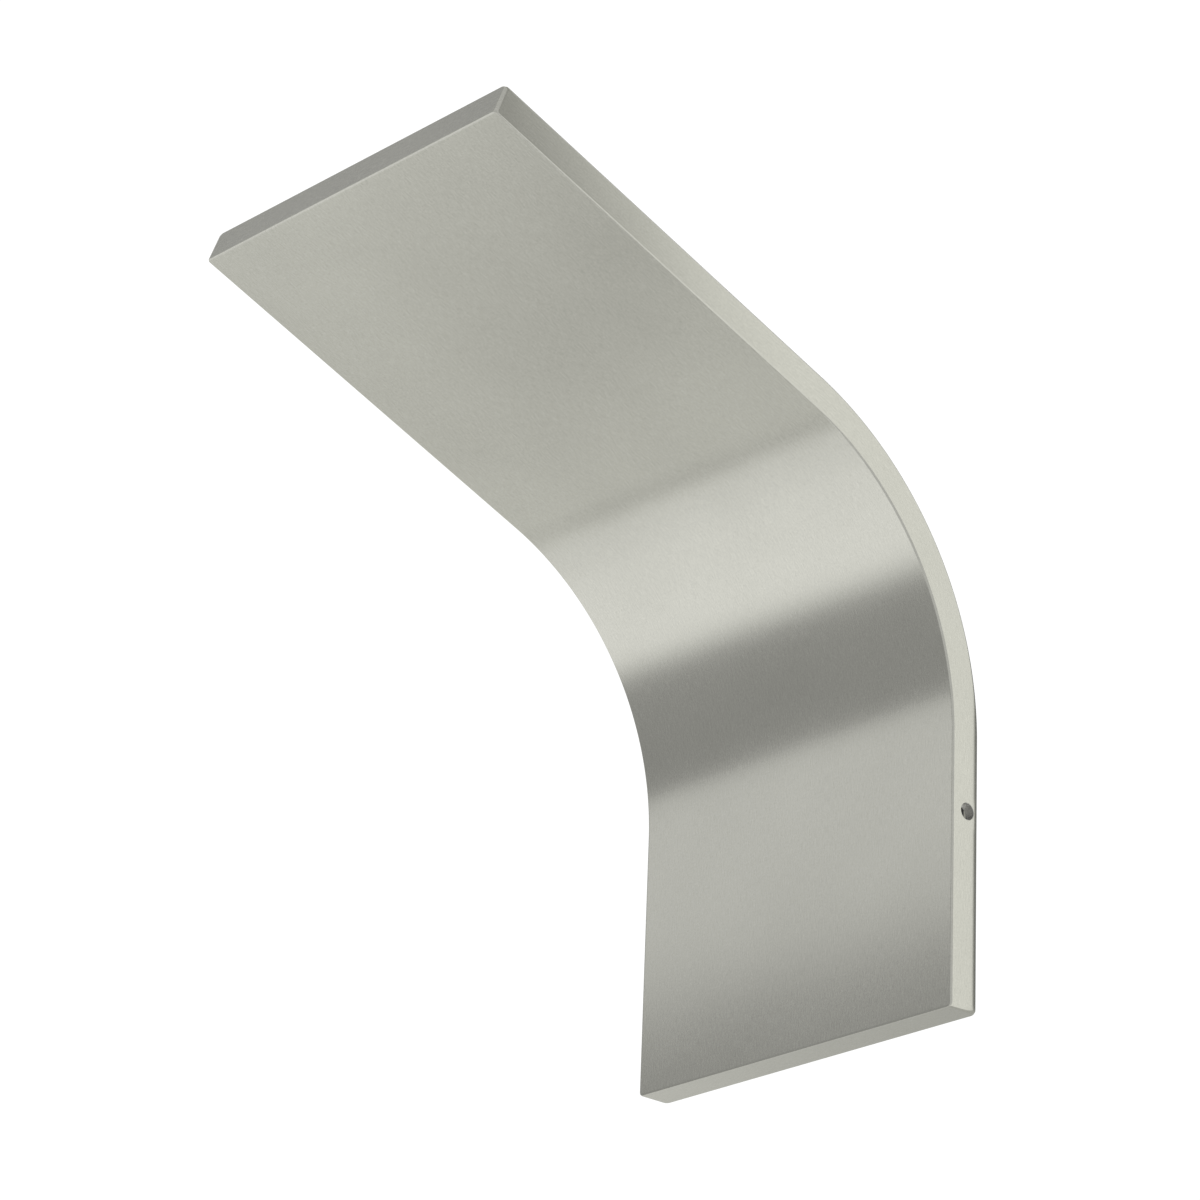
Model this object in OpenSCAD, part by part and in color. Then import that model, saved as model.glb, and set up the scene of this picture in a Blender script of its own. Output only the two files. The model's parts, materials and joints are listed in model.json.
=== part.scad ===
// Curved slide panel in satin stainless sheet: a bent bed with a deep rim all round,
// welded up from cut and folded pieces, stiffened behind and bolted through its cheeks.

/* [Sliding face] */
// Width across the sliding face
panel_w = 450; // [360:10:560]
// Straight length of the run-out leg, from its end to the start of the bend
lower_len = 285; // [235:1:350]
// Straight length of the steep leg, from the end of the bend to its end
upper_len = 456; // [380:1:560]
// Radius of the bend, on the sliding face
bend_r = 313; // [255:1:380]
// Rise of the steep leg over the run below, with the run-out leg level
steep_rise = 117; // [97:1:141]
// Run of the steep leg over that rise
steep_run = 44; // [36:1:53]

/* [Rim] */
// Thickness of the bed, cheek and end cap sheet
sheet_t = 2.5; // [2:0.1:3]
// Depth of the rim, from the sliding face to its back edge
rim_h = 36; // [30:1:45]
// Outer radius of the fold along the back edge of each cheek
fold_r = 4; // [3.4:0.2:5]
// Width of the return lip behind each cheek
lip_w = 18; // [14:1:24]

/* [Side fixing] */
// Diameter of the bore for the fixing bolt
bore_d = 17.5; // [14:0.5:21]
// Wall of the bush behind the cheek
bush_wall = 2.25; // [1.75:0.25:2.75]
// Length of the bush behind the cheek
bush_len = 9; // [6:1:12]
// Distance from the start of the bend back to the bore
bore_from_bend = 78; // [60:1:95]
// Gap between the bush and the fold of the cheek
bush_clear = 0.5; // [0.3:0.1:1]

/* [Cross ribs] */
// Width of a rib across its crown
rib_crown = 30; // [24:1:36]
// How far each wall of a rib spreads from the crown to the bed
rib_spread = 4; // [2:1:6]
// Width of each foot of a rib
rib_foot = 12; // [8:1:16]
// Height of a rib behind the bed
rib_h = 22; // [16:1:24]
// Thickness of the rib sheet
rib_t = 2; // [1.5:0.1:2.5]
// Gap between the curved feet and the bed in the bend
rib_gap = 0.2; // [0.1:0.1:0.4]
// Distance of the lower rib from the end of the run-out leg
lower_rib_at = 105; // [80:1:125]
// Distance of the first rib on the steep leg from the bend
upper_rib_at = 150; // [120:1:180]
// Distance of the second rib on the steep leg from the leg's end
upper_rib_from_end = 96; // [70:1:120]

/* [Hidden] */
$fn = 96;
// A cutting shape reaches this far past what it cuts
over = 1;
// The steep leg of a bent piece runs this far into its bend, so that they are one sheet
lap = 0.001;
bend_angle = atan2(steep_rise, steep_run);
// The ground corner weld is as wide as the sheet is thick
edge_r = sheet_t;
inner_w = panel_w - 2 * sheet_t;
bush_d = bore_d + 2 * bush_wall;
bore_depth = rim_h - fold_r - bush_clear - bush_d / 2;
rib_base = rib_crown + 2 * rib_spread;
rib_w = rib_base + 2 * rib_foot;
// The two ribs in the bend stand at a quarter and three quarters of its angle
bend_rib_low_angle = bend_angle / 4;
bend_rib_high_angle = bend_angle * 3 / 4;
// How far the steep leg reaches beyond the start of the bend, and the bend's centre
upper_reach = (bend_r + rim_h) * sin(bend_angle) + upper_len * cos(bend_angle);
centre_x = (lower_len - upper_reach) / 2;
centre_z = rim_h + bend_r;

// The pieces are drawn about the centre of the bend: x is the depth away from it, the
// run-out leg lies along -y and z is across. This stands them up in the slide's frame.
module stand() {
    translate([centre_x, 0, centre_z]) rotate([90, 90, 0]) children();
}

// A straight stretch of a section, which starts at the bend and runs out along the leg
module run_out_leg(from, len) {
    translate([0, -from, 0]) rotate([90, 0, 0]) linear_extrude(len) children();
}

module steep_leg(from, len) {
    rotate([0, 0, bend_angle]) translate([0, from + len, 0]) rotate([90, 0, 0])
        linear_extrude(len) children();
}

// Carries a section along both legs and round the bend, up to the end caps
module along_slide() {
    run_out_leg(0, lower_len - sheet_t) children();
    rotate_extrude(angle = bend_angle) children();
    steep_leg(-lap, upper_len - sheet_t + lap) children();
}

// What a rounded corner leaves outside, for a corner at the origin of the first quadrant
module corner_waste(r) {
    difference() {
        translate([-over, -over]) square(r + over);
        translate([r, r]) circle(r);
    }
}

// The rim's outline, closed across the face: x is the depth below the face, y is across
module rim_outline() {
    difference() {
        translate([0, -panel_w / 2]) square([rim_h, panel_w]);
        for (side = [0, 1]) mirror([0, side]) {
            translate([0, -panel_w / 2]) corner_waste(edge_r);
            translate([rim_h, -panel_w / 2]) mirror([1, 0]) corner_waste(fold_r);
        }
    }
}

// The hollow between the cheeks, with the inside of the fold in its back corners
module rim_hollow() {
    back = rim_h - sheet_t;
    difference() {
        translate([-over, -inner_w / 2]) square([back + over, inner_w]);
        for (side = [0, 1]) mirror([0, side])
            translate([back, -inner_w / 2]) mirror([1, 0]) corner_waste(fold_r - sheet_t);
    }
}

module bed_section() {
    translate([0, -inner_w / 2]) square([sheet_t, inner_w]);
}

// A cheek's web, fold and return lip, on the side where y is positive
module cheek_section() {
    difference() {
        rim_outline();
        rim_hollow();
        translate([-over, -panel_w]) square([rim_h + 2 * over, panel_w]);
        square([rim_h + over, panel_w / 2 - lip_w]);
    }
}

module at_bore() {
    translate([bend_r + bore_depth, -bore_from_bend, 0]) children();
}

module cheek() {
    difference() {
        along_slide() translate([bend_r, 0]) cheek_section();
        at_bore() cylinder(d = bore_d, h = panel_w);
    }
}

// The bush is welded to the inner face of the cheek, in line with its hole
module bush() {
    at_bore() translate([0, 0, inner_w / 2 - bush_len]) difference() {
        cylinder(d = bush_d, h = bush_len);
        translate([0, 0, -over]) cylinder(d = bore_d, h = bush_len + 2 * over);
    }
}

// A rib's hat shape from the bed outwards: x is the depth behind the bed, y is along it
module hat(crown, spread, height, below) {
    slope = spread / rib_h;
    base = crown / 2 + slope * (height + below);
    polygon([[-below, -base], [height, -crown / 2], [height, crown / 2], [-below, base]]);
}

module hat_hollow() {
    hat(rib_crown - 2 * rib_t, rib_spread, rib_h - rib_t, over);
}

module straight_rib() {
    linear_extrude(inner_w, center = true) translate([bend_r + sheet_t, 0]) difference() {
        union() {
            hat(rib_crown, rib_spread, rib_h, 0);
            translate([0, -rib_w / 2]) square([rib_t, rib_w]);
        }
        hat_hollow();
    }
}

module curved_rib() {
    seat_r = bend_r + sheet_t + rib_gap;
    linear_extrude(inner_w, center = true) difference() {
        union() {
            translate([seat_r, 0]) hat(rib_crown, rib_spread, rib_h, over);
            intersection() {
                circle(seat_r + rib_t, $fn = 360);
                translate([seat_r / 2, -rib_w / 2]) square([seat_r, rib_w]);
            }
        }
        circle(seat_r, $fn = 360);
        translate([seat_r, 0]) hat_hollow();
    }
}

module slide_bed() {
    color([0.72, 0.72, 0.69]) stand() along_slide() translate([bend_r, 0]) bed_section();
}

module left_cheek() {
    color([0.80, 0.80, 0.77]) stand() cheek();
}

module right_cheek() {
    color([0.80, 0.80, 0.77]) stand() mirror([0, 0, 1]) cheek();
}

module top_end_cap() {
    color([0.60, 0.60, 0.57]) stand()
        steep_leg(upper_len - sheet_t, sheet_t) translate([bend_r, 0]) rim_outline();
}

module bottom_end_cap() {
    color([0.60, 0.60, 0.57]) stand()
        run_out_leg(lower_len - sheet_t, sheet_t) translate([bend_r, 0]) rim_outline();
}

module left_bush() {
    color([0.55, 0.55, 0.55]) stand() bush();
}

module right_bush() {
    color([0.55, 0.55, 0.55]) stand() mirror([0, 0, 1]) bush();
}

module lower_rib() {
    color([0.66, 0.66, 0.64]) stand()
        translate([0, lower_rib_at - lower_len, 0]) straight_rib();
}

module bend_rib_low() {
    color([0.66, 0.66, 0.64]) stand() rotate([0, 0, bend_rib_low_angle]) curved_rib();
}

module bend_rib_high() {
    color([0.66, 0.66, 0.64]) stand() rotate([0, 0, bend_rib_high_angle]) curved_rib();
}

module upper_rib_low() {
    color([0.66, 0.66, 0.64]) stand() rotate([0, 0, bend_angle])
        translate([0, upper_rib_at, 0]) straight_rib();
}

module upper_rib_high() {
    color([0.66, 0.66, 0.64]) stand() rotate([0, 0, bend_angle])
        translate([0, upper_len - upper_rib_from_end, 0]) straight_rib();
}

slide_bed();
left_cheek();
right_cheek();
top_end_cap();
bottom_end_cap();
left_bush();
right_bush();
lower_rib();
bend_rib_low();
bend_rib_high();
upper_rib_low();
upper_rib_high();
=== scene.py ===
"""Looks of a bent stainless slide panel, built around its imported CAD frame.

Every sheet metal piece is a section carried along the slide: two straight legs joined
by one bend. Sizes are in metres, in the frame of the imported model.
"""

import json
import logging
import math
from dataclasses import dataclass
from enum import Enum

import bpy
import numpy as np
from mathutils import Matrix, Vector

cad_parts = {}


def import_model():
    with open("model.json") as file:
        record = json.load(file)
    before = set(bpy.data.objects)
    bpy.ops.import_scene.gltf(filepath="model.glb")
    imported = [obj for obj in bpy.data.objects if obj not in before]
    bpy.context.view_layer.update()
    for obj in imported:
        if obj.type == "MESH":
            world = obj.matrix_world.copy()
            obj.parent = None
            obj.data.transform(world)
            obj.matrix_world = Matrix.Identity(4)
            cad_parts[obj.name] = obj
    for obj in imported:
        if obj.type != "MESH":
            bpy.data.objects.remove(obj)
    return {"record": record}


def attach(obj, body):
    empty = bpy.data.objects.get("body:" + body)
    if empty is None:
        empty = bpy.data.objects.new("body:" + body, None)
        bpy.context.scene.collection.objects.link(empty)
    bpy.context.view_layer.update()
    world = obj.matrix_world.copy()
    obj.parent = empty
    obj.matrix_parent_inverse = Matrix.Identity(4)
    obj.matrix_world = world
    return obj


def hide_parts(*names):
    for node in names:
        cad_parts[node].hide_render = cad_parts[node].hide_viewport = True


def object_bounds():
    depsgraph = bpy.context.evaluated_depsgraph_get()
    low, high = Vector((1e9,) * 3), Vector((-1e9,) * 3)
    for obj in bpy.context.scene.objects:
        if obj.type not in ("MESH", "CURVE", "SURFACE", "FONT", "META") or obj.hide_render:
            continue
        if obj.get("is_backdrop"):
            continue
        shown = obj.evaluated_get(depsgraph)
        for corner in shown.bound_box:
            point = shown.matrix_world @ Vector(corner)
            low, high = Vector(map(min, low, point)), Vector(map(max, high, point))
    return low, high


LOG = logging.getLogger("slide_panel")
BODY = "root"
MM = 0.001
SHARP = 32.0

Socket = bpy.types.NodeSocket
Material = bpy.types.Material
Piece = bpy.types.Object
Triple = tuple[float, float, float]
# (from, to, value at from, value at to)
Span = tuple[float, float, float, float]


class Side(Enum):
    """The two sides of the panel, by the sign of Y."""

    LEFT = -1
    RIGHT = 1


class Slot(Enum):
    """Material slots of the record."""

    SATIN = "satin_sheet"
    MILL = "mill_sheet"
    TURNED = "turned_steel"


# ---- finishes


@dataclass(frozen=True)
class SatinFinish:
    """Satin ground stainless sheet, with fine grain along the slide."""

    light: Triple = (0.713, 0.712, 0.650)
    dark: Triple = (0.571, 0.570, 0.518)
    scuffed: Triple = (0.82, 0.82, 0.78)
    # Lighter colour at the crests of rounded edges: edge wear and a painted highlight.
    worn_and_highlight: Triple = (0.80, 0.80, 0.76)
    grain_share: float = 0.8
    contrast: Span = (0.34, 0.66, 0.0, 1.0)
    scuff_share: float = 0.10
    wear_and_highlight_share: float = 0.12
    roughness: Span = (0.30, 0.70, 0.16, 0.22)
    wear_polish: float = 0.03
    grain_depth: float = 0.05 * MM
    grain_height: float = 0.45
    ripple_depth: float = 0.35 * MM
    ripple_scale: float = 3.2


@dataclass(frozen=True)
class MillFinish:
    """Mill finish stainless sheet, tinted by heat beside its welds."""

    light: Triple = (0.56, 0.56, 0.545)
    dark: Triple = (0.44, 0.44, 0.435)
    straw: Triple = (0.50, 0.37, 0.20)
    blue: Triple = (0.16, 0.19, 0.30)
    contrast: Span = (0.32, 0.68, 0.0, 1.0)
    grain_share: float = 0.25
    cloud_scale: float = 45.0
    cloud: Span = (0.30, 0.62, 0.35, 1.0)
    straw_share: Span = (0.12, 0.55, 0.0, 0.75)
    blue_share: Span = (0.60, 0.95, 0.0, 0.85)
    roughness: Span = (0.30, 0.70, 0.30, 0.50)
    scuff_polish: float = 0.12
    grain_depth: float = 0.03 * MM


@dataclass(frozen=True)
class WeldFinish:
    """Bright rippled weld metal with burnt edges."""

    light: Triple = (0.60, 0.58, 0.53)
    dark: Triple = (0.27, 0.25, 0.25)
    cloud_scale: float = 160.0
    cloud: Span = (0.30, 0.60, 0.4, 1.0)
    burnt_share: Span = (0.25, 0.95, 0.0, 1.0)
    roughness: Span = (0.30, 0.70, 0.22, 0.46)
    grain_depth: float = 0.04 * MM


@dataclass(frozen=True)
class TurnedFinish:
    """Turned stainless with fine tool rings."""

    light: Triple = (0.60, 0.60, 0.575)
    dark: Triple = (0.42, 0.42, 0.41)
    contrast: Span = (0.25, 0.75, 0.0, 1.0)
    ring_share: float = 0.4
    roughness: Span = (0.30, 0.70, 0.44, 0.60)
    ring_pitch: float = 0.25 * MM
    grain_depth: float = 0.02 * MM


@dataclass(frozen=True)
class StudioLook:
    """Strengths of the studio by the angle round the Y axis, seen beyond the panel.

    Each stop is (angle in degrees from +X towards +Z, strength).
    """

    stops: tuple[tuple[float, float], ...] = (
        (-60.0, 0.50),
        (0.0, 0.43),
        (15.0, 0.43),
        (40.0, 0.36),
        (84.0, 0.35),
        (117.0, 0.37),
        (130.0, 0.99),
        (158.0, 0.95),
        (174.0, 0.86),
        (192.0, 0.78),
        (240.0, 0.56),
    )
    slant: float = -50.0
    slant_from: float = 0.672
    slant_most: float = 3.0
    front: float = 0.60
    front_edge: Span = (0.10, 0.45, 0.0, 1.0)
    backdrop: float = 0.96
    tint: Triple = (1.0, 1.0, 0.995)


@dataclass(frozen=True)
class FloorLook:
    """Strengths of the floor by place, in metres from the middle of the panel.

    The camera sees it even, but for a painted shadow inside the rim of the run-out leg. The panel
    mirrors another one: left of it, off its run-out end, below it with a painted shadow, inside it
    glowing brighter as painted light for the bores' walls, and beyond.
    """

    seen: float = 1.04
    # Painted shadow: the floor under the run-out leg, seen through the bores, is dark.
    seen_inside: float = 0.02
    # Painted light: inside the rim the panel mirrors a brighter floor, which lights the bores' walls.
    inside: float = 0.90
    inside_x: tuple[float, float] = (-0.245, 0.125)
    inside_y: tuple[float, float] = (0.0, 0.205)
    left: Span = (0.8, 2.2, 0.91, 0.37)
    left_edge: Span = (-0.2310, -0.2290, 0.0, 1.0)
    off_end: float = 0.54
    off_end_rise: float = 0.30
    off_end_edge: Span = (-0.386, -0.376, 0.0, 1.0)
    # Painted shadow: the floor below the panel is darker in its reflections.
    below: float = 0.22
    below_edge: Span = (-0.205, -0.195, 1.0, 0.0)
    beyond: Span = (1.4, 2.3, 0.66, 0.515)
    beyond_edge: Span = (0.30, 0.55, 0.0, 1.0)
    far: Span = (6.3, 7.5, 0.0, 0.12)
    slant: float = 0.82
    slant_edge: Span = (0.57, 0.67, 0.0, 0.12)
    cloud: Span = (0.0, 1.0, 0.05, 0.06)
    cloud_scale: float = 30.0
    roughness: float = 0.9
    tint: Triple = (1.0, 1.0, 0.97)


# ---- node helpers


class Nodes:
    """Small builder for a node tree."""

    EASE = {False: "LINEAR", True: "SMOOTHSTEP"}

    def __init__(self, tree: bpy.types.NodeTree) -> None:
        """Keeps the tree that the nodes go into."""
        self.tree = tree

    def add(self, kind: str, inputs: dict | None = None, **props: object) -> bpy.types.Node:
        """Adds a node.

        Args:
            kind: Blender's node type.
            inputs: socket name or index to a value, or to a socket to link from.
            props: properties set on the node.

        Returns:
            The new node.
        """
        node = self.tree.nodes.new(kind)
        for name, value in props.items():
            setattr(node, name, value)
        for key, value in (inputs or {}).items():
            if isinstance(value, Socket):
                self.tree.links.new(value, node.inputs[key])
            else:
                node.inputs[key].default_value = value
        return node

    def math(self, operation: str, *values: object) -> Socket:
        """Adds a Math node and returns its output."""
        return self.add("ShaderNodeMath", dict(enumerate(values)), operation=operation).outputs[0]

    def mix(self, factor: object, a: object, b: object) -> Socket:
        """Mixes two colours by the share of the second, and returns the result."""
        pair = [v if isinstance(v, Socket) else (*v, 1.0) for v in (a, b)]
        return self.add("ShaderNodeMix", {0: factor, 6: pair[0], 7: pair[1]}, data_type="RGBA").outputs[2]

    def pick(self, factor: object, a: object, b: object) -> Socket:
        """Mixes two numbers by the share of the second, and returns the result."""
        return self.add("ShaderNodeMix", {0: factor, 2: a, 3: b}, data_type="FLOAT").outputs[0]

    def remap(self, value: object, *span: float, smooth: bool = False) -> Socket:
        """Maps a value from span[0]..span[1] to span[2]..span[3], without going past them."""
        inputs = dict(zip(("Value", "From Min", "From Max", "To Min", "To Max"), (value, *span)))
        return self.add("ShaderNodeMapRange", inputs, interpolation_type=self.EASE[smooth]).outputs[0]

    def noise(self, vector: object, scale: float, detail: float = 2.0) -> Socket:
        """Adds a noise texture and returns its value, 0 to 1."""
        inputs = {"Vector": vector, "Scale": scale, "Detail": detail}
        return self.add("ShaderNodeTexNoise", inputs).outputs[0]

    def stretch(self, vector: object, scale: Triple) -> Socket:
        """Multiplies a vector by a scale on each axis."""
        inputs = {0: vector, 1: scale}
        return self.add("ShaderNodeVectorMath", inputs, operation="MULTIPLY").outputs[0]


def grain_group() -> bpy.types.NodeTree:
    """Builds the group shared by all the metals.

    Returns:
        A group that takes a vector in metres with the grain along its first axis, and
        gives Grain (fine streaks), Mottle (broad clouds) and Scuff (sparse thin marks),
        each 0 to 1.
    """
    group = bpy.data.node_groups.new("metal_grain", "ShaderNodeTree")
    group.interface.new_socket("Vector", in_out="INPUT", socket_type="NodeSocketVector")
    for name in ("Grain", "Mottle", "Scuff"):
        group.interface.new_socket(name, in_out="OUTPUT", socket_type="NodeSocketFloat")
    n = Nodes(group)
    source = n.add("NodeGroupInput").outputs[0]
    streak = n.noise(n.stretch(source, (90.0, 1100.0, 1100.0)), 1.0, 3.0)
    speck = n.noise(n.stretch(source, (420.0, 620.0, 620.0)), 1.0, 2.0)
    grain = n.math("ADD", n.math("MULTIPLY", streak, 0.55), n.math("MULTIPLY", speck, 0.45))
    mottle = n.noise(source, 7.0, 4.0)
    marks = n.noise(n.stretch(source, (9.0, 420.0, 420.0)), 1.0, 1.0)
    patch = n.remap(n.noise(source, 16.0, 1.0), 0.52, 0.66, 0.0, 1.0)
    scuff = n.math("MULTIPLY", n.remap(marks, 0.66, 0.74, 0.0, 1.0), patch)
    n.add("NodeGroupOutput", {"Grain": grain, "Mottle": mottle, "Scuff": scuff})
    return group


class Metals:
    """Makes each metal once."""

    def __init__(self) -> None:
        """Builds the shared grain and the four metals."""
        self.group = grain_group()
        self.satin = self._satin()
        self.mill = self._mill()
        self.weld = self._weld()
        self.turned = self._turned()

    def _start(self, name: str) -> tuple[Nodes, Material, Socket, list[Socket]]:
        """Starts a material.

        Args:
            name: the material's name.

        Returns:
            The builder, the material, the surface vector in metres, and the grain, mottle
            and scuff.
        """
        material = bpy.data.materials.new(name)
        material.use_nodes = True
        material.node_tree.nodes.clear()
        n = Nodes(material.node_tree)
        surface = n.add("ShaderNodeUVMap", uv_map="surface").outputs[0]
        grain = n.add("ShaderNodeGroup", node_tree=self.group)
        material.node_tree.links.new(surface, grain.inputs[0])
        return n, material, surface, list(grain.outputs)

    def _finish(self, n: Nodes, color: object, roughness: object, height: object, depth: float) -> None:
        """Closes a material with a metal shader and a bump.

        Args:
            n: the builder.
            color: base colour socket.
            roughness: roughness socket.
            height: height socket, 0 to 1.
            depth: height of 1 in metres.
        """
        bump = n.add("ShaderNodeBump", {"Height": height, "Distance": depth, "Strength": 1.0})
        inputs = {"Base Color": color, "Roughness": roughness, "Metallic": 1.0, "Normal": bump.outputs[0]}
        shader = n.add("ShaderNodeBsdfPrincipled", inputs)
        n.add("ShaderNodeOutputMaterial", {"Surface": shader.outputs[0]})

    def _satin(self) -> Material:
        """Makes the ground sheet, lighter and smoother at the crests of its rounded edges, from edge wear and
        a painted highlight.

        Returns:
            The material.
        """
        f = SatinFinish()
        n, material, surface, (grain, mottle, scuff) = self._start("satin_sheet")
        wear = n.add("ShaderNodeAttribute", attribute_name="wear").outputs["Fac"]
        fine = n.math("MULTIPLY", grain, f.grain_share)
        shade = n.math("ADD", fine, n.math("MULTIPLY", mottle, 1.0 - f.grain_share))
        tone = n.mix(n.remap(shade, *f.contrast), f.dark, f.light)
        tone = n.mix(n.math("MULTIPLY", scuff, f.scuff_share), tone, f.scuffed)
        # Edge wear and a painted highlight: the crests of the rounded edges take the lighter colour.
        tone = n.mix(n.math("MULTIPLY", wear, f.wear_and_highlight_share), tone, f.worn_and_highlight)
        rough = n.remap(shade, *f.roughness)
        rough = n.math("SUBTRACT", rough, n.math("MULTIPLY", wear, f.wear_polish))
        wave = n.noise(surface, f.ripple_scale, 0.0)
        ripple = n.math("MULTIPLY", wave, f.ripple_depth / f.grain_depth)
        height = n.math("ADD", ripple, n.math("MULTIPLY", grain, f.grain_height))
        self._finish(n, tone, rough, height, f.grain_depth)
        return material

    def _mill(self) -> Material:
        """Makes the sheet behind the face, straw and then blue where it was hot.

        Returns:
            The material.
        """
        f = MillFinish()
        n, material, surface, (grain, mottle, scuff) = self._start("mill_sheet")
        heat = n.add("ShaderNodeAttribute", attribute_name="scorch").outputs["Fac"]
        cloud = n.noise(surface, f.cloud_scale, 3.0)
        heat = n.math("MULTIPLY", heat, n.remap(cloud, *f.cloud))
        tone = n.mix(n.remap(mottle, *f.contrast), f.dark, f.light)
        tone = n.mix(n.math("MULTIPLY", grain, f.grain_share), tone, f.dark)
        tone = n.mix(n.remap(heat, *f.straw_share), tone, f.straw)
        tone = n.mix(n.remap(heat, *f.blue_share), tone, f.blue)
        rough = n.remap(mottle, *f.roughness)
        rough = n.math("SUBTRACT", rough, n.math("MULTIPLY", scuff, f.scuff_polish))
        self._finish(n, tone, rough, grain, f.grain_depth)
        return material

    def _weld(self) -> Material:
        """Makes the weld metal, burnt at the ends of each bead.

        Returns:
            The material.
        """
        f = WeldFinish()
        n, material, surface, (grain, _, _) = self._start("weld_metal")
        burnt = n.add("ShaderNodeAttribute", attribute_name="scorch").outputs["Fac"]
        cloud = n.noise(surface, f.cloud_scale, 3.0)
        burnt = n.math("MULTIPLY", burnt, n.remap(cloud, *f.cloud))
        tone = n.mix(n.remap(burnt, *f.burnt_share), f.light, f.dark)
        self._finish(n, tone, n.remap(cloud, *f.roughness), grain, f.grain_depth)
        return material

    def _turned(self) -> Material:
        """Makes the turned steel, whose tool rings follow the length round a section.

        Returns:
            The material.
        """
        f = TurnedFinish()
        n, material, surface, (grain, mottle, _) = self._start("turned_steel")
        split = n.add("ShaderNodeSeparateXYZ", {0: surface})
        turns = n.math("MULTIPLY", split.outputs[1], 2.0 * math.pi / f.ring_pitch)
        ring = n.remap(n.math("SINE", turns), -1.0, 1.0, 0.0, 1.0)
        fine = n.math("MULTIPLY", grain, 1.0 - f.ring_share)
        shade = n.math("ADD", n.math("MULTIPLY", ring, f.ring_share), fine)
        tone = n.mix(n.remap(shade, *f.contrast), f.dark, f.light)
        self._finish(n, tone, n.remap(mottle, *f.roughness), ring, f.grain_depth)
        return material


# ---- the slide's own coordinates


@dataclass
class SlidePath:
    """The line of the sliding face: a level run-out leg, one bend and a steep leg."""

    start_x: float
    floor_z: float
    lower_len: float = 0.285
    upper_len: float = 0.456
    bend_r: float = 0.313
    steep_rise: float = 117.0
    steep_run: float = 44.0
    rim_h: float = 0.036
    bend_steps: int = 84
    leg_steps: int = 14

    @property
    def bend_angle(self) -> float:
        """Angle between the legs, in radians."""
        return math.atan2(self.steep_rise, self.steep_run)

    @property
    def bend_end(self) -> float:
        """Distance along the face at which the bend ends."""
        return self.lower_len + self.bend_r * self.bend_angle

    @property
    def length(self) -> float:
        """Whole length along the face."""
        return self.bend_end + self.upper_len

    def place(self, along: np.ndarray, depth: np.ndarray, across: np.ndarray) -> np.ndarray:
        """Turns slide coordinates into points.

        A point on a leg lies along the leg and depth below its face. In the bend it
        lies on a circle about the bend's centre, whose radius is bend_r plus depth, at
        the angle of the arc length since the bend began.

        Args:
            along: distance along the face.
            depth: distance below the face.
            across: Y.

        Returns:
            Points, with XYZ on the last axis.
        """
        along, depth, across = np.broadcast_arrays(along, depth, across)
        turn = np.clip((along - self.lower_len) / self.bend_r, 0.0, self.bend_angle)
        before = np.minimum(along - self.lower_len, 0.0)
        after = np.maximum(along - self.bend_end, 0.0)
        reach = self.bend_r + depth
        x = self.start_x + self.lower_len + before + reach * np.sin(turn) + after * np.cos(turn)
        z = self.floor_z + self.rim_h + self.bend_r - reach * np.cos(turn) + after * np.sin(turn)
        return np.stack([x, across, z], axis=-1)

    def stations(self, start: float, end: float) -> np.ndarray:
        """Places a section along the slide, close together in the bend.

        Args:
            start: first distance along the face.
            end: last distance along the face.

        Returns:
            The distances.
        """
        run_out = np.linspace(0.0, self.lower_len, self.leg_steps, endpoint=False)
        bend = np.linspace(self.lower_len, self.bend_end, self.bend_steps, endpoint=False)
        steep = np.linspace(self.bend_end, self.length, self.leg_steps)
        stops = np.concatenate([run_out, bend, steep])
        inside = stops[(stops > start + MM) & (stops < end - MM)]
        return np.concatenate([[start], inside, [end]])


def rounded(corners: list[Triple], steps: int = 7) -> tuple[np.ndarray, np.ndarray]:
    """Rounds the corners of a closed outline.

    Each corner is replaced by an arc that touches both its sides: it starts and ends
    radius / tan(half the corner's angle) from the corner, and its centre lies on the
    corner's bisector.

    Args:
        corners: (first, second, radius) of each corner, in order.
        steps: points on each arc.

    Returns:
        The outline's points, and their edge wear and painted highlight: 1 at the crest of an
        outward arc, down to 0 at its ends and elsewhere.
    """
    points = np.array([c[:2] for c in corners])
    radii = np.array([c[2] for c in corners])
    before = np.roll(points, 1, axis=0) - points
    after = np.roll(points, -1, axis=0) - points
    before /= np.linalg.norm(before, axis=1, keepdims=True)
    after /= np.linalg.norm(after, axis=1, keepdims=True)
    half = np.arccos(np.clip((before * after).sum(1), -1.0, 1.0)) / 2.0
    middle = before + after
    middle /= np.linalg.norm(middle, axis=1, keepdims=True)
    centre = points + middle * (radii / np.sin(half))[:, None]
    sweep = math.pi / 2.0 - half
    turn = np.sign(after[:, 0] * before[:, 1] - after[:, 1] * before[:, 0])
    angle = np.linspace(-1.0, 1.0, steps)[None, :] * (sweep * turn)[:, None]
    cos, sin = np.cos(angle), np.sin(angle)
    out = -middle[:, None, :]
    turned = [out[..., 0] * cos - out[..., 1] * sin, out[..., 0] * sin + out[..., 1] * cos]
    loop = centre[:, None, :] + np.stack(turned, axis=-1) * radii[:, None, None]
    ahead = np.roll(points, -1, axis=0)
    area = (points[:, 0] * ahead[:, 1] - ahead[:, 0] * points[:, 1]).sum()
    outward = (turn * np.sign(area) > 0.0).astype(float)
    crest = np.sin(np.linspace(0.0, math.pi, steps))
    return loop.reshape(-1, 2), (outward[:, None] * crest[None, :]).ravel()


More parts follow.
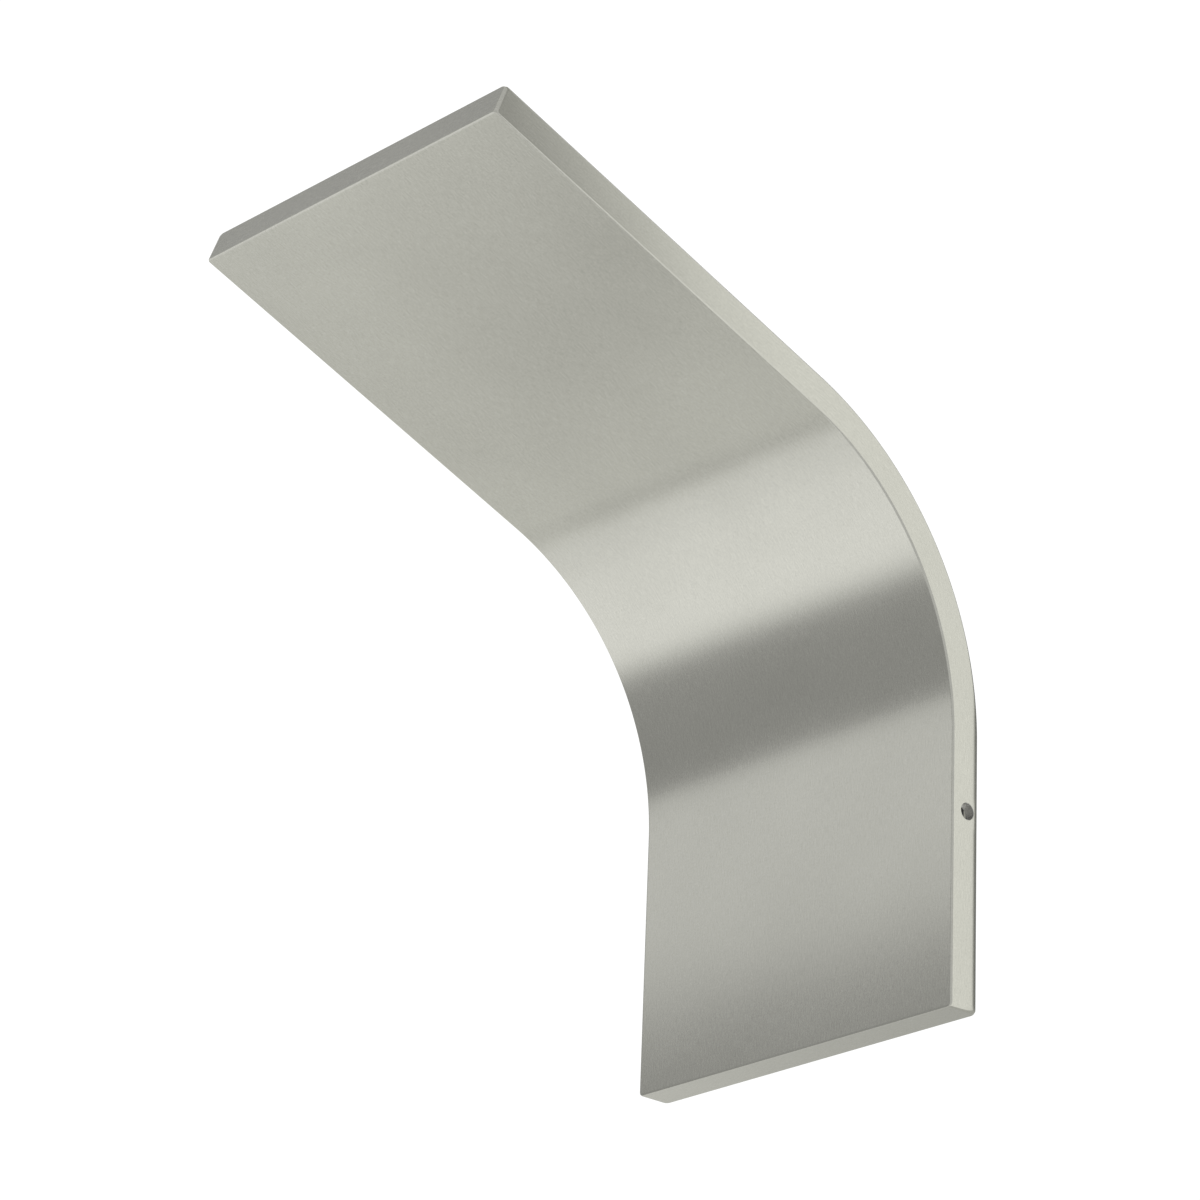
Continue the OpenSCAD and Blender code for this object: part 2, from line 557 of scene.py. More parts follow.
def quarter(radius: float, to_end: np.ndarray) -> np.ndarray:
    """Works out how far a rounded corner lies inside the sharp one.

    The corner is a quarter circle. At a distance d from the end the inset is
    radius - sqrt(radius^2 - (radius - d)^2), and nothing from a distance of radius on.

    Args:
        radius: the circle's radius.
        to_end: distances from the end.

    Returns:
        The insets.
    """
    left = np.maximum(radius - to_end, 0.0)
    return radius - np.sqrt(np.maximum(radius**2 - left**2, 0.0))


# ---- meshes


@dataclass
class Shell:
    """Points, faces and surface coordinates of one closed surface."""

    points: np.ndarray
    quads: np.ndarray
    surface: np.ndarray
    # Edge wear and painted highlight of each point.
    wear: np.ndarray
    heat: np.ndarray
    ends: list[np.ndarray]


def loft(
    rings: np.ndarray,
    along: np.ndarray,
    wear: np.ndarray | None = None,
    heat: np.ndarray | None = None,
    closed: bool = False,
) -> Shell:
    """Joins a row of closed rings into one surface.

    Ring i and ring i + 1 are joined by four-sided faces, point by point, and the first
    and last ring are closed by one flat face each, or joined to each other.

    Args:
        rings: points, (ring, point on the ring, XYZ).
        along: surface coordinate of each ring.
        wear: edge wear and painted highlight of each point on a ring.
        heat: heat of each point, per ring and point.
        closed: joins the last ring to the first.

    Returns:
        The surface, whose second coordinate is the length round the ring.
    """
    count, size = rings.shape[:2]
    rows = np.arange(count if closed else count - 1)[:, None]
    cols = np.arange(size)[None, :]
    nxt, side = (rows + 1) % count, (cols + 1) % size
    quads = np.stack([rows * size + cols, nxt * size + cols, nxt * size + side, rows * size + side], axis=-1)
    step = np.linalg.norm(np.roll(rings[count // 2], -1, axis=0) - rings[count // 2], axis=1)
    around = np.concatenate([[0.0], np.cumsum(step)])
    reach = np.append(along, along[-1] + (along[-1] - along[-2])) if closed else along
    u = np.stack([reach[rows], reach[rows + 1], reach[rows + 1], reach[rows]], axis=-1)
    v = np.stack([around[cols], around[cols], around[cols + 1], around[cols + 1]], axis=-1)
    u, v = np.broadcast_arrays(u, v)
    surface = np.stack([u, v], axis=-1).reshape(-1, 2)
    flat_wear_and_highlight = np.zeros(size) if wear is None else wear
    flat_heat = np.zeros((count, size)) if heat is None else heat
    ends = [] if closed else [np.arange(size)[::-1], (count - 1) * size + np.arange(size)]
    points, all_wear_and_highlight = rings.reshape(-1, 3), np.tile(flat_wear_and_highlight, count)
    return Shell(points, quads.reshape(-1, 4), surface, all_wear_and_highlight, flat_heat.ravel(), ends)


def signed_volume(shell: Shell) -> float:
    """Measures six times the volume inside a surface, triangle by triangle.

    Args:
        shell: the surface.

    Returns:
        The volume, negative if the faces look inwards.
    """
    a, b, c, d = (shell.points[shell.quads[:, i]] for i in range(4))
    total = np.einsum("ij,ij->", a, np.cross(b, c)) + np.einsum("ij,ij->", a, np.cross(c, d))
    for end in shell.ends:
        fan = shell.points[end]
        total += (fan[0] * np.cross(fan[1:-1], fan[2:])).sum()
    return float(total)


def build(name: str, shells: list[Shell], materials: list[Material], sharp: float = SHARP) -> Piece:
    """Makes one object out of closed surfaces.

    Args:
        name: the piece's name.
        shells: its surfaces.
        materials: its materials; every face starts with the first.
        sharp: edges that turn by more than this many degrees stay sharp.

    Returns:
        The object, with its UV map surface and its attributes wear, which is
        edge wear and painted highlight, and scorch.
    """
    faces: list[list[int]] = []
    surfaces: list[np.ndarray] = []
    offset = 0
    for shell in shells:
        flip = signed_volume(shell) < 0.0
        quads = shell.quads[:, ::-1] if flip else shell.quads
        uv = shell.surface.reshape(-1, 4, 2)
        uv = uv[:, ::-1] if flip else uv
        faces += (quads + offset).tolist()
        surfaces.append(uv.reshape(-1, 2))
        for end in shell.ends:
            ring = end[::-1] if flip else end
            faces.append((ring + offset).tolist())
            spread = shell.points[ring]
            surfaces.append(np.stack([spread[:, 1], spread[:, 0] + spread[:, 2]], axis=-1))
        offset += len(shell.points)
    mesh = bpy.data.meshes.new(name)
    mesh.from_pydata(np.concatenate([s.points for s in shells]).tolist(), [], faces)
    layer = mesh.uv_layers.new(name="surface")
    layer.data.foreach_set("uv", np.concatenate(surfaces).astype(np.float32).ravel())
    for name_in_mesh, key in (("wear", "wear"), ("scorch", "heat")):
        attribute = mesh.attributes.new(name_in_mesh, "FLOAT", "POINT")
        values = np.concatenate([getattr(s, key) for s in shells])
        attribute.data.foreach_set("value", values.astype(np.float32))
    for material in materials:
        mesh.materials.append(material)
    mesh.shade_smooth()
    mesh.set_sharp_from_angle(angle=math.radians(sharp))
    mesh.validate()
    piece = bpy.data.objects.new(name, mesh)
    bpy.context.scene.collection.objects.link(piece)
    return piece


def drill(piece: Piece, cutter: Piece) -> None:
    """Cuts one object out of another and keeps the result as its mesh.

    Args:
        piece: the object that is cut.
        cutter: the cutting object, which is removed.
    """
    cut = piece.modifiers.new("bore", "BOOLEAN")
    cut.object = cutter
    cut.operation = "DIFFERENCE"
    cut.solver = "EXACT"
    cut.material_mode = "TRANSFER"
    graph = bpy.context.evaluated_depsgraph_get()
    result = piece.evaluated_get(graph)
    mesh = bpy.data.meshes.new_from_object(result, preserve_all_data_layers=True, depsgraph=graph)
    piece.modifiers.clear()
    piece.data = mesh
    mesh.name = piece.name
    mesh.shade_smooth()
    mesh.set_sharp_from_angle(angle=math.radians(SHARP))
    bpy.data.objects.remove(cutter)


def publish(piece: Piece, slot: Slot, *nodes: str) -> None:
    """Fixes a piece to the panel's body, says what it stands for and reports it.

    Args:
        piece: the piece.
        slot: the record's slot, named in the log line.
        nodes: CAD nodes that it replaces.
    """
    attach(piece, BODY)
    if nodes:
        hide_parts(*nodes)
    count = len(piece.data.polygons)
    LOG.info("%s: %d faces, slot %s, replaces %s", piece.name, count, slot.value, nodes or "nothing")


# ---- pieces


@dataclass
class Tray:
    """The bed, the cheeks and the end caps."""

    path: SlidePath
    half_w: float
    sheet: float = 2.5 * MM
    edge_r: float = 2.48 * MM
    fold_r: float = 4.0 * MM
    lip: float = 18.0 * MM
    soft: float = 0.35 * MM
    cap_soft: float = 0.30 * MM
    corner_r: float = 5.0 * MM
    cap_sharp: float = 50.0
    foot_heat: float = 12.0 * MM
    edge_heat: float = 8.0 * MM
    edge_share: float = 0.8

    @property
    def inner(self) -> float:
        """Half the width between the cheeks."""
        return self.half_w - self.sheet

    def stops(self) -> np.ndarray:
        """Places a section between the end caps, with more in the rounded corners.

        Returns:
            Distances along the face.
        """
        near = np.linspace(self.sheet, self.corner_r, 6)
        between = self.path.stations(self.corner_r, self.path.length - self.corner_r)
        return np.unique(np.concatenate([near, between, self.path.length - near]))

    def bed(self, metals: Metals, feet: np.ndarray) -> Piece:
        """Makes the bed, ground in front, and mill finish with heat marks behind.

        The heat falls off on a bell curve from the ribs' feet and from the cheeks.

        Args:
            metals: the metals.
            feet: distances along the face of the edges of the ribs' feet.

        Returns:
            The piece.
        """
        spread = np.linspace(-self.inner, self.inner, 25)
        front = np.stack([np.zeros_like(spread), spread], axis=-1)
        rear = np.stack([np.full_like(spread, self.sheet), spread[::-1]], axis=-1)
        section = np.concatenate([front, rear])
        along = self.path.stations(self.sheet, self.path.length - self.sheet)
        extra = (feet[:, None] + np.linspace(-2.0, 2.0, 13) * self.foot_heat).ravel()
        extra = extra[np.min(np.abs(extra[:, None] - along), axis=1) > MM]
        along = np.sort(np.concatenate([along, extra]))
        near = np.min(np.abs(along[:, None] - feet), axis=1)
        warm = np.exp(-((near / self.foot_heat) ** 2))[:, None]
        edge = np.exp(-(((self.inner - np.abs(section[:, 1])) / self.edge_heat) ** 2))[None, :]
        rings = self.path.place(along[:, None], section[None, :, 0], section[None, :, 1])
        shell = loft(rings, along, None, np.maximum(warm, self.edge_share * edge))
        piece = build("slide_bed_sheet", [shell], [metals.satin, metals.mill])
        column = np.arange(len(shell.quads)) % len(section)
        behind = (column >= len(spread)) & (column < 2 * len(spread) - 1)
        index = np.zeros(len(piece.data.polygons), dtype=np.int32)
        index[: len(behind)] = behind
        piece.data.polygons.foreach_set("material_index", index)
        return piece

    def cheek(self, side: Side, metals: Metals) -> Piece:
        """Makes a cheek with its ground edge, its web, its fold and its return lip.

        Near both ends its outer side turns in along the quarter circle of the corners.

        Args:
            side: which cheek.
            metals: the metals.

        Returns:
            The piece, not yet drilled.
        """
        out, back, t = self.half_w, self.path.rim_h, self.sheet
        corners = [
            (0.0, self.inner, 0.0),
            (0.0, out, self.edge_r),
            (back, out, self.fold_r),
            (back, out - self.lip, self.soft),
            (back - t, out - self.lip, self.soft),
            (back - t, self.inner, self.fold_r - t),
        ]
        # The crests of the cheek's rounded edges carry edge wear and a painted highlight.
        section, wear = rounded(corners)
        along = self.stops()
        to_end = np.minimum(along, self.path.length - along)
        share = np.clip((section[:, 1] - self.inner) / self.sheet, 0.0, 1.0)
        across = section[:, 1] - share * quarter(self.corner_r, to_end)[:, None]
        rings = self.path.place(along[:, None], section[None, :, 0], across * side.value)
        return build(f"{side.name.lower()}_cheek_sheet", [loft(rings, along, wear)], [metals.satin])

    def cap(self, name: str, top: bool, metals: Metals) -> Piece:
        """Makes an end cap: the rim's whole outline, with its outer edge eased.

        Towards the end the outline gets less wide along a quarter circle of corner_r,
        which the cheeks begin, and less deep along one of cap_soft.

        Args:
            name: the piece's name.
            top: at the steep end, else at the run-out end.
            metals: the metals.

        Returns:
            The piece.
        """
        back, out = self.path.rim_h, self.half_w
        corners = [(0.0, -out, self.edge_r), (0.0, out, self.edge_r)]
        corners += [(back, out, self.fold_r), (back, -out, self.fold_r)]
        outline, _ = rounded(corners)
        start = math.asin(1.0 - self.sheet / self.corner_r)
        to_end = self.corner_r * (1.0 - np.sin(np.linspace(start, math.pi / 2.0, 12)))
        deep = 1.0 - 2.0 * quarter(self.cap_soft, to_end)[:, None] / back
        wide = 1.0 - quarter(self.corner_r, to_end)[:, None] / out
        along = self.path.length - to_end if top else to_end
        depth = back / 2.0 + (outline[:, 0] - back / 2.0) * deep
        rings = self.path.place(along[:, None], depth, outline[:, 1] * wide)
        return build(name, [loft(rings, along)], [metals.satin], self.cap_sharp)


@dataclass
class Fixing:
    """The bore through a cheek and the bush welded behind it."""

    centre: Vector
    bore_r: float
    inner: float
    sheet: float = 2.5 * MM
    wall: float = 2.25 * MM
    length: float = 9.0 * MM
    chamfer: float = 0.4 * MM
    seat: float = 0.05 * MM
    mouth: float = 0.35 * MM
    reach: float = 5.0 * MM
    past: float = 0.001 * MM
    steps: int = 96

    def turned(self, outline: np.ndarray) -> Shell:
        """Turns a closed outline about the bore's axis.

        Args:
            outline: its points, as (radius, across).

        Returns:
            The surface.
        """
        angle = np.linspace(0.0, 2.0 * math.pi, self.steps, endpoint=False)
        radius, across = outline[None, :, 0], outline[None, :, 1]
        x = self.centre.x + radius * np.cos(angle)[:, None]
        z = self.centre.z + radius * np.sin(angle)[:, None]
        rings = np.stack([x, np.broadcast_to(across, x.shape), z], axis=-1)
        return loft(rings, angle * self.bore_r, closed=True)

    def cutter(self, side: Side, metals: Metals) -> Piece:
        """Makes a drill whose mouth opens out a little at the cheek's outer face.

        Args:
            side: the side of the cheek.
            metals: the metals.

        Returns:
            The drill.
        """
        wide, face = self.bore_r + self.mouth, self.inner + self.sheet
        profile = [(self.bore_r, self.inner - self.reach), (self.bore_r, face - self.mouth)]
        profile += [(wide, face + self.past), (wide, face + self.reach)]
        radius, across = np.array(profile).T[..., None]
        angle = np.linspace(0.0, 2.0 * math.pi, self.steps, endpoint=False)
        x = self.centre.x + radius * np.cos(angle)
        z = self.centre.z + radius * np.sin(angle)
        y = np.broadcast_to(across * side.value, x.shape)
        return build("drill", [loft(np.stack([x, y, z], axis=-1), across.ravel())], [metals.turned])

    def bush(self, side: Side, metals: Metals) -> Piece:
        """Makes the bush, a turned ring with eased edges.

        Args:
            side: the side of the cheek.
            metals: the metals.

        Returns:
            The piece.
        """
        outer_r, far = self.bore_r + self.wall, self.inner - self.length
        corners = [(self.bore_r, far, self.chamfer), (outer_r, far, self.chamfer)]
        corners += [(outer_r, self.inner, self.seat), (self.bore_r, self.inner, self.seat)]
        outline, _ = rounded(corners, 5)
        outline[:, 1] *= side.value
        return build(f"{side.name.lower()}_bush_ring", [self.turned(outline)], [metals.turned])


@dataclass
class Rib:
    """One folded hat rib across the back of the bed."""

    path: SlidePath
    at: float
    inner: float
    seat: float = 2.5 * MM
    crown: float = 30.0 * MM
    spread: float = 4.0 * MM
    foot: float = 12.0 * MM
    height: float = 22.0 * MM
    sheet: float = 2.0 * MM
    outer_r: float = 3.6 * MM
    cut_r: float = 0.25 * MM
    end_gap: float = 0.1 * MM
    end_zone: float = 30.0 * MM
    middle_zone: float = 180.0 * MM
    foot_heat: float = 7.0 * MM
    end_heat: float = 12.0 * MM

    @property
    def half(self) -> float:
        """Half the width over the feet."""
        return self.crown / 2.0 + self.spread + self.foot

    def section(self) -> tuple[np.ndarray, np.ndarray]:
        """Draws the hat's outline with folded corners.

        Returns:
            Its points, as (along, depth behind the bed), and their edge wear and painted highlight.
        """
        t, h, top = self.sheet, self.height, self.crown / 2.0
        slope = self.spread / h
        wall = top + slope * (h - t)
        low = top - t + slope * h
        fold, cut = self.outer_r, self.cut_r
        right = [(self.half, 0.0, cut), (self.half, t, cut), (wall, t, fold - t), (top, h, fold)]
        left = [(-a, d, r) for a, d, r in reversed(right)]
        inside = [(-low, 0.0, fold), (t - top, h - t, fold - t), (top - t, h - t, fold - t), (low, 0.0, fold)]
        return rounded(right + left + inside, 8)

    def make(self, name: str, metals: Metals) -> Piece:
        """Makes the rib, with its heat marks at the feet and at both ends.

        Args:
            name: the piece's name.
            metals: the metals.

        Returns:
            The piece.
        """
        section, _ = self.section()
        reach = self.inner - self.end_gap
        end = np.linspace(reach - self.end_zone, reach, 7)
        middle = np.linspace(-self.middle_zone, self.middle_zone, 19)
        across = np.concatenate([-end[::-1], middle, end])
        depth = self.seat + section[None, :, 1]
        rings = self.path.place(self.at + section[None, :, 0], depth, across[:, None])
        at_foot = np.exp(-(((self.half - np.abs(section[:, 0])) / self.foot_heat) ** 2))
        at_end = np.exp(-(((self.inner - np.abs(across)) / self.end_heat) ** 2))
        heat = np.maximum(at_foot[None, :], at_end[:, None])
        return build(name, [loft(rings, across, None, heat)], [metals.mill])


@dataclass(frozen=True)
class RibPlaces:
    """Where the ribs on the legs sit: from the run-out end, the bend and the steep end."""

    lower: float = 105.0 * MM
    upper: float = 150.0 * MM
    upper_from_end: float = 96.0 * MM

    def ribs(self, path: SlidePath, inner: float) -> dict[str, Rib]:
        """Places the ribs, two of them at a quarter and three quarters of the bend.

        Args:
            path: the slide's line.
            inner: half the width between the cheeks.

        Returns:
            The ribs by the names of their nodes.
        """
        bend = path.bend_end - path.lower_len
        places = {
            "lower_rib": self.lower,
            "bend_rib_low": path.lower_len + bend / 4.0,
            "bend_rib_high": path.lower_len + bend * 3.0 / 4.0,
            "upper_rib_low": path.bend_end + self.upper,
            "upper_rib_high": path.length - self.upper_from_end,
        }
        return {name: Rib(path, at, inner) for name, at in places.items()}


@dataclass
class Welds:
    """Rippled beads where the pieces behind the face are joined."""

    path: SlidePath
    inner: float
    radius: float = 2.0 * MM
    ripple: float = 0.16 * MM
    pitch: float = 1.6 * MM
    stitch: float = 42.0 * MM
    steps: float = 4.5
    sunk: float = 0.4 * MM
    seam_inset: float = 35.0 * MM
    seam_short: float = 3.0 * MM
    stitch_inset: float = 37.5 * MM
    ring_radius: float = 1.5 * MM
    ring_gap: float = 0.2 * MM
    ring_steps: int = 260
    toe: float = 0.3 * MM
    rise: float = 0.5 * MM
    sides: int = 12
    clean: float = 0.8
    sharp: float = 60.0

    def run(self, length: float) -> np.ndarray:
        """Stations along a bead about its middle, a few to each ripple."""
        return np.linspace(-length / 2.0, length / 2.0, int(length / self.pitch * self.steps))

    def bead(self, line: np.ndarray, first: np.ndarray, second: np.ndarray, radius: float) -> Shell:
        """Lays one bead along a line of points.

        Its section is a circle in the plane of the two given directions. The radius
        swells and shrinks by the ripple once every pitch, and runs out at both ends
        along a quarter circle.

        Args:
            line: points along the bead.
            first: one direction across the bead, per point.
            second: the other direction across the bead, per point.
            radius: the bead's radius.

        Returns:
            The surface.
        """
        step = np.linalg.norm(np.diff(line, axis=0), axis=1)
        run = np.concatenate([[0.0], np.cumsum(step)])
        tail = np.clip(np.minimum(run, run[-1] - run) / (2.0 * radius), 0.0, 1.0)
        swell = radius * np.sqrt(np.clip(1.0 - (1.0 - tail) ** 2, 0.02, 1.0))
        swell = swell + self.ripple * np.cos(2.0 * math.pi * run / self.pitch) * tail
        angle = np.linspace(0.0, 2.0 * math.pi, self.sides, endpoint=False)[None, :, None]
        ring = np.cos(angle) * first[:, None, :] + np.sin(angle) * second[:, None, :]
        rings = line[:, None, :] + ring * swell[:, None, None]
        heat = np.broadcast_to(1.0 - self.clean * tail[:, None], rings.shape[:2])
        return loft(rings, run, None, heat)

    def across(self, along: float, depth: float, centre: float, length: float) -> Shell:
        """Lays a bead along Y.

        Args:
            along: its distance along the face.
            depth: its depth below the face.
            centre: Y of its middle.
            length: its length.

        Returns:
            The surface.
        """
        y = centre + self.run(length)
        line = self.path.place(np.full_like(y, along), np.full_like(y, depth), y)
        ahead = self.path.place(along + MM, depth, 0.0) - self.path.place(along - MM, depth, 0.0)
        first = np.broadcast_to(ahead / np.linalg.norm(ahead), line.shape)
        second = np.broadcast_to(np.cross(first[0], (0.0, 1.0, 0.0)), line.shape)
        return self.bead(line, first, second, self.radius)

    def lengthways(self, centre: float, depth: float, across: float, length: float) -> Shell:
        """Lays a bead along the slide.

        Args:
            centre: distance of its middle along the face.
            depth: its depth below the face.
            across: its Y.
            length: its length.

        Returns:
            The surface.
        """
        s = centre + self.run(length)
        line = self.path.place(s, np.full_like(s, depth), np.full_like(s, across))
        deeper = self.path.place(s, np.full_like(s, depth + MM), np.full_like(s, across))
        first = (deeper - line) / MM
        second = np.broadcast_to((0.0, 1.0, 0.0), line.shape)
        return self.bead(line, first, second, self.radius)

    def ribs(self, ribs: list[Rib], metals: Metals) -> Piece:
        """Lays five stitches along both feet of every rib.

        Args:
            ribs: the ribs.
            metals: the metals.

        Returns:
            The piece.
        """
        last = self.inner - self.stitch_inset
        shells = [
            self.across(rib.at + sign * (rib.half + self.toe), rib.seat + self.rise, y, self.stitch)
            for rib in ribs
            for sign in (-1.0, 1.0)
            for y in np.linspace(-last, last, 5)
        ]
        return build("rib_stitch_welds", shells, [metals.weld], self.sharp)

    def seams(self, ribs: list[Rib], sheet: float, metals: Metals) -> Piece:
        """Lays stitches in the corners of bed and cheeks, and full seams at the end caps.

        Args:
            ribs: the ribs, which the stitches leave free.
            sheet: thickness of the bed.
            metals: the metals.

        Returns:
            The piece.
        """
        spots = np.linspace(self.seam_inset, self.path.length - self.seam_inset, 14)
        free = [s for s in spots if all(abs(rib.at - s) > rib.half + self.stitch / 2.0 for rib in ribs)]
        edge = self.inner - self.sunk
        floor = sheet + self.sunk
        shells = [
            self.lengthways(s, floor, side.value * edge, self.stitch) for s in free for side in Side
        ]
        shells += [
            self.across(s, floor, 0.0, 2.0 * (edge - self.seam_short))
            for s in (floor, self.path.length - floor)
        ]
        return build("seam_welds", shells, [metals.weld], self.sharp)

    def bush(self, fixing: Fixing, side: Side) -> Shell:
        """Lays a ring of weld round a bush, against the inner face of its cheek.

        Args:
            fixing: the bush and its bore.
            side: the side of the cheek.

        Returns:
            The surface.
        """
        angle = np.linspace(0.0, 2.0 * math.pi, self.ring_steps)
        radius = fixing.bore_r + fixing.wall + self.ring_gap
        out = np.stack([np.cos(angle), np.zeros_like(angle), np.sin(angle)], axis=-1)
        middle = np.array([fixing.centre.x, side.value * (self.inner - self.sunk), fixing.centre.z])
        second = np.broadcast_to((0.0, 1.0, 0.0), out.shape)
        return self.bead(middle + out * radius, out, second, self.ring_radius)


# ---- stage


@dataclass
class Shot:
    """The camera's place: round the aim, above the level, and turned on its own axis."""

    aim: Triple = (0.01421, -0.01313, 0.32415)
    azimuth: float = -119.463
    elevation: float = 37.211
    distance: float = 4.743
    roll: float = -68.858
    lens: float = 142.6
    sensor: float = 36.0

    def make(self) -> None:
        """Makes the camera and gives it to the scene."""
        a, e, r = (math.radians(v) for v in (self.azimuth, self.elevation, self.roll))
        back = Vector((math.cos(a) * math.cos(e), math.sin(a) * math.cos(e), math.sin(e)))
        level = (-back).cross(Vector((0.0, 0.0, 1.0))).normalized()
        upright = level.cross(-back)
        right = level * math.cos(r) + upright * math.sin(r)
        up = upright * math.cos(r) - level * math.sin(r)
        data = bpy.data.cameras.new("camera")
        data.lens = self.lens
        data.sensor_width = self.sensor
        data.clip_end = 60.0
        camera = bpy.data.objects.new("camera", data)
        bpy.context.scene.collection.objects.link(camera)
        turn = Matrix((right, up, back)).transposed().to_4x4()
        camera.matrix_world = Matrix.Translation(Vector(self.aim) + back * self.distance) @ turn
        bpy.context.scene.camera = camera


@dataclass
class Studio:
    """A glowing floor, a banded surround and one softbox."""

    look: StudioLook = StudioLook()
    ground: FloorLook = FloorLook()
    floor_r: float = 9.0
    box_size: tuple[float, float] = (1.22, 1.50)
    box_place: Triple = (0.815, 1.15, 1.09)
    box_power: float = 2.15

    def mirrored(self, n: Nodes, place: Socket) -> tuple[Socket, Socket]:
        """Works out the strength of the floor that the panel mirrors.

        Args:
            n: the builder of the floor's material.
            place: the place on the floor.

        Returns:
            The strength, and 1 inside the rim of the run-out leg and 0 elsewhere.
        """
        f = self.ground
        x, y = n.add("ShaderNodeSeparateXYZ", {0: place}).outputs[:2]
        away = n.add("ShaderNodeVectorMath", {0: place}, operation="LENGTH").outputs["Value"]
        slope = n.math("ADD", y, n.math("MULTIPLY", x, f.slant))
        beyond = n.math("ADD", n.remap(away, *f.beyond), n.remap(slope, *f.slant_edge, smooth=True))
        beyond = n.math("ADD", beyond, n.remap(away, *f.far))
        # Painted shadow below the panel, in its reflections of the floor.
        below = n.remap(x, *f.off_end_edge)
        off_end = n.math("ADD", n.math("MULTIPLY", y, f.off_end_rise), f.off_end)
        near = n.pick(below, off_end, f.below)
        rest = n.pick(n.remap(y, *f.beyond_edge, smooth=True), near, beyond)
        rest = n.pick(n.math("MULTIPLY", n.remap(y, *f.below_edge), below), rest, f.below)
        left = n.remap(n.math("SUBTRACT", x, y), *f.left, smooth=True)
        whole = n.pick(n.remap(y, *f.left_edge), left, rest)
        in_x, in_y = n.math("COMPARE", x, *f.inside_x), n.math("COMPARE", y, *f.inside_y)
        inside = n.math("MULTIPLY", in_x, in_y)
        # Painted light inside the rim, for the bores' walls.
        return n.pick(inside, whole, f.inside), inside

    def floor(self) -> None:
        """Lays a round glowing floor, even to the camera but for a painted shadow inside the rim, and
        patterned in the panel.
        """
        f = self.ground
        angle = np.linspace(0.0, 2.0 * math.pi, 96, endpoint=False)
        mesh = bpy.data.meshes.new("floor")
        ring = np.stack([np.cos(angle), np.sin(angle), np.zeros_like(angle)], axis=-1) * self.floor_r
        mesh.from_pydata(ring.tolist(), [], [list(range(len(angle)))])
        material = bpy.data.materials.new("pale_floor")
        material.use_nodes = True
        material.node_tree.nodes.clear()
        n = Nodes(material.node_tree)
        place = n.add("ShaderNodeTexCoord").outputs["Object"]
        mirrored, inside = self.mirrored(n, place)
        seen = n.add("ShaderNodeLightPath").outputs["Is Camera Ray"]
        # To the camera the floor is even, but for a painted shadow inside the rim, seen through the bores.
        glow = n.pick(seen, mirrored, n.pick(inside, f.seen, f.seen_inside))
        cloud = n.remap(n.noise(place, f.cloud_scale), *f.cloud)
        color = n.add("ShaderNodeCombineColor", {0: cloud, 1: cloud, 2: cloud}).outputs[0]
        tint = n.mix(seen, f.tint, (1.0, 1.0, 1.0))
        inputs = {"Base Color": color, "Roughness": f.roughness, "Specular IOR Level": 0.0}
        inputs |= {"Emission Color": tint, "Emission Strength": glow}
        shader = n.add("ShaderNodeBsdfPrincipled", inputs)
        n.add("ShaderNodeOutputMaterial", {"Surface": shader.outputs[0]})
        mesh.materials.append(material)
        floor = bpy.data.objects.new("floor", mesh)
        bpy.context.scene.collection.objects.link(floor)
        floor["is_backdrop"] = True

    def surround(self) -> None:
        """Puts up the banded surround that the panel mirrors, even to the camera."""
        look = self.look
        world = bpy.data.worlds.new("studio")
        world.use_nodes = True
        world.node_tree.nodes.clear()
        n = Nodes(world.node_tree)
        ray = n.add("ShaderNodeTexCoord").outputs["Generated"]
        x, y, z = n.add("ShaderNodeSeparateXYZ", {0: ray}).outputs[:3]
        angle = n.math("MULTIPLY", n.math("ARCTAN2", z, x), 180.0 / math.pi)
        lean = n.math("MULTIPLY", n.math("SUBTRACT", y, look.slant_from), look.slant)
        most = look.slant_most
        angle = n.math("ADD", angle, n.remap(lean, -most, most, -most, most))
        first, strength = look.stops[0]
        wrapped = n.math("ADD", angle, n.math("MULTIPLY", n.math("LESS_THAN", angle, first), 360.0))
        for (a0, _), (a1, s1) in zip(look.stops, look.stops[1:]):
            part = n.remap(wrapped, a0, a1, 0.0, 1.0, smooth=True)
            strength = n.pick(part, strength, s1)
        beyond = n.remap(y, *look.front_edge, smooth=True)
        blend = n.pick(beyond, look.front, strength)
        seen = n.add("ShaderNodeLightPath").outputs["Is Camera Ray"]
        blend = n.pick(seen, blend, look.backdrop)
        sky = n.add("ShaderNodeBackground", {"Color": (*look.tint, 1.0), "Strength": blend})
        n.add("ShaderNodeOutputWorld", {"Surface": sky.outputs[0]})
        bpy.context.scene.world = world

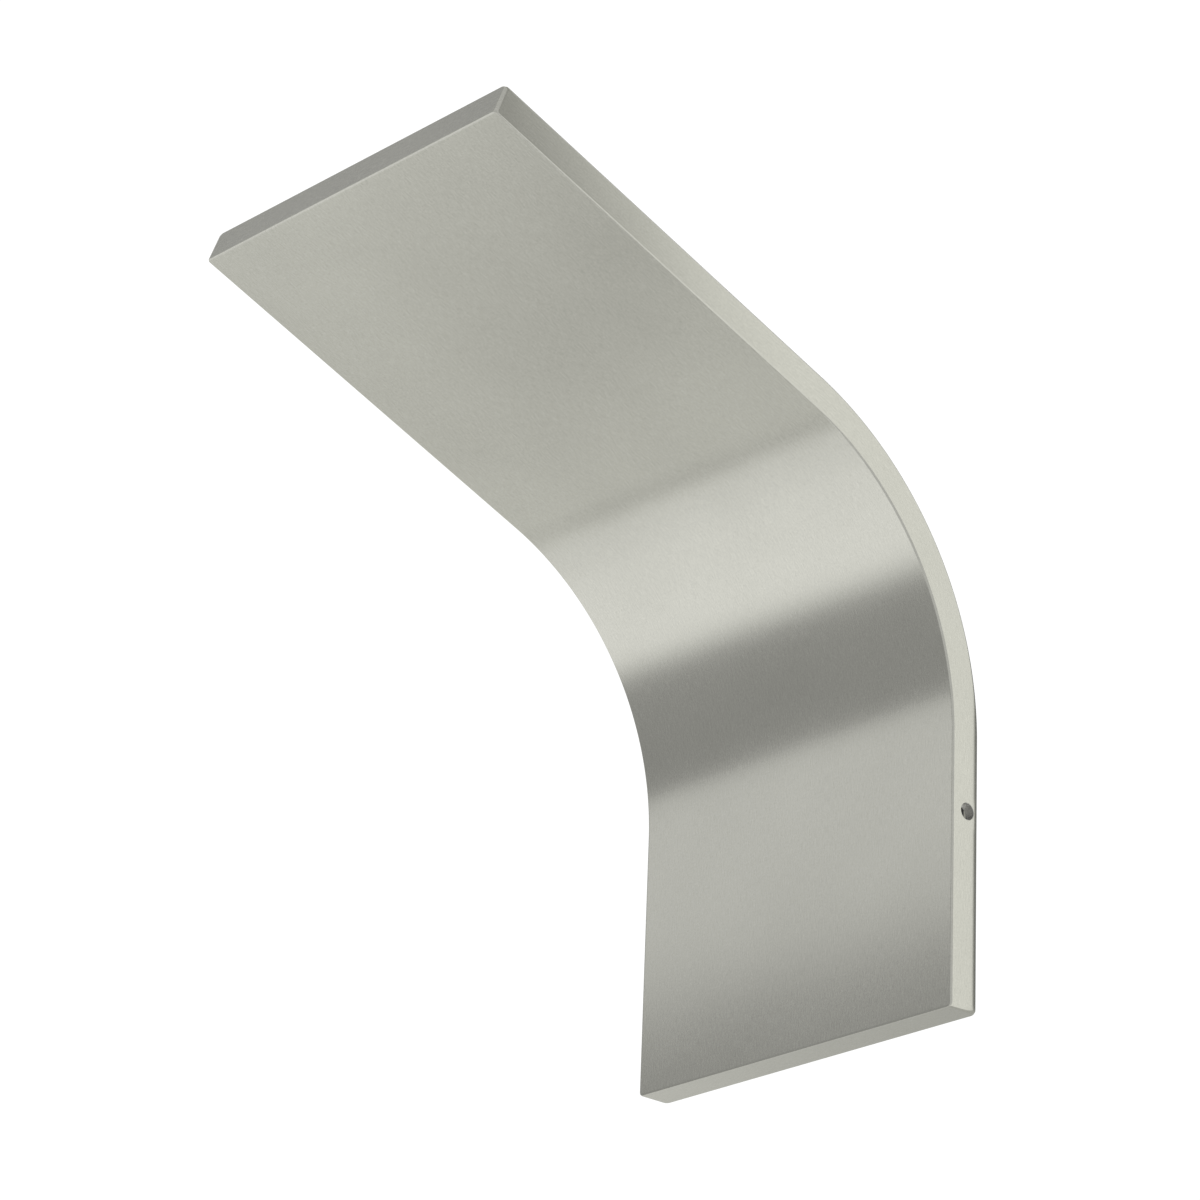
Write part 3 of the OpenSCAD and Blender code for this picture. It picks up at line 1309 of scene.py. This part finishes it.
    def softbox(self) -> None:
        """Hangs a level softbox above the far side, whose near edge shows in the panel."""
        data = bpy.data.lights.new("softbox", "AREA")
        data.shape = "RECTANGLE"
        data.size, data.size_y = self.box_size
        data.energy = self.box_power
        lamp = bpy.data.objects.new("softbox", data)
        lamp.location = self.box_place
        lamp.visible_camera = False
        bpy.context.scene.collection.objects.link(lamp)

    def make(self) -> None:
        """Builds the whole studio, in plain Standard colours."""
        self.floor()
        self.surround()
        self.softbox()
        bpy.context.scene.view_settings.view_transform = "Standard"


def main() -> None:
    """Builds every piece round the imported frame."""
    logging.basicConfig(level=logging.INFO, format="%(name)s %(message)s")
    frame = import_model()
    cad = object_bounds()
    metals = Metals()
    low, high = cad
    path = SlidePath(start_x=low.x, floor_z=low.z)
    tray = Tray(path, half_w=high.y)
    mounts = {m["name"]: m for m in frame["record"]["mounts"]}
    ribs = RibPlaces().ribs(path, tray.inner)
    feet = np.array([rib.at + sign * rib.half for rib in ribs.values() for sign in (-1.0, 1.0)])
    publish(tray.bed(metals, feet), Slot.SATIN, "slide_bed")
    for name, top in (("top_end_cap", True), ("bottom_end_cap", False)):
        publish(tray.cap(f"{name}_plate", top, metals), Slot.SATIN, name)
    for name, rib in ribs.items():
        publish(rib.make(f"{name}_hat", metals), Slot.MILL, name)

    welds = Welds(path, tray.inner)
    rings: list[Shell] = []
    for side in Side:
        word = side.name.lower()
        bore = mounts[f"{word}_fixing_bore"]
        fixing = Fixing(Vector(bore["pos_m"]), bore["dims"]["r_mm"] * MM, tray.inner)
        cheek = tray.cheek(side, metals)
        drill(cheek, fixing.cutter(side, metals))
        publish(cheek, Slot.SATIN, f"{word}_cheek")
        publish(fixing.bush(side, metals), Slot.TURNED, f"{word}_bush")
        rings.append(welds.bush(fixing, side))
    publish(build("bush_welds", rings, [metals.weld], welds.sharp), Slot.TURNED)
    publish(welds.ribs(list(ribs.values()), metals), Slot.MILL)
    publish(welds.seams(list(ribs.values()), tray.sheet, metals), Slot.MILL)

    Shot().make()
    Studio().make()


if __name__ == "__main__":
    main()
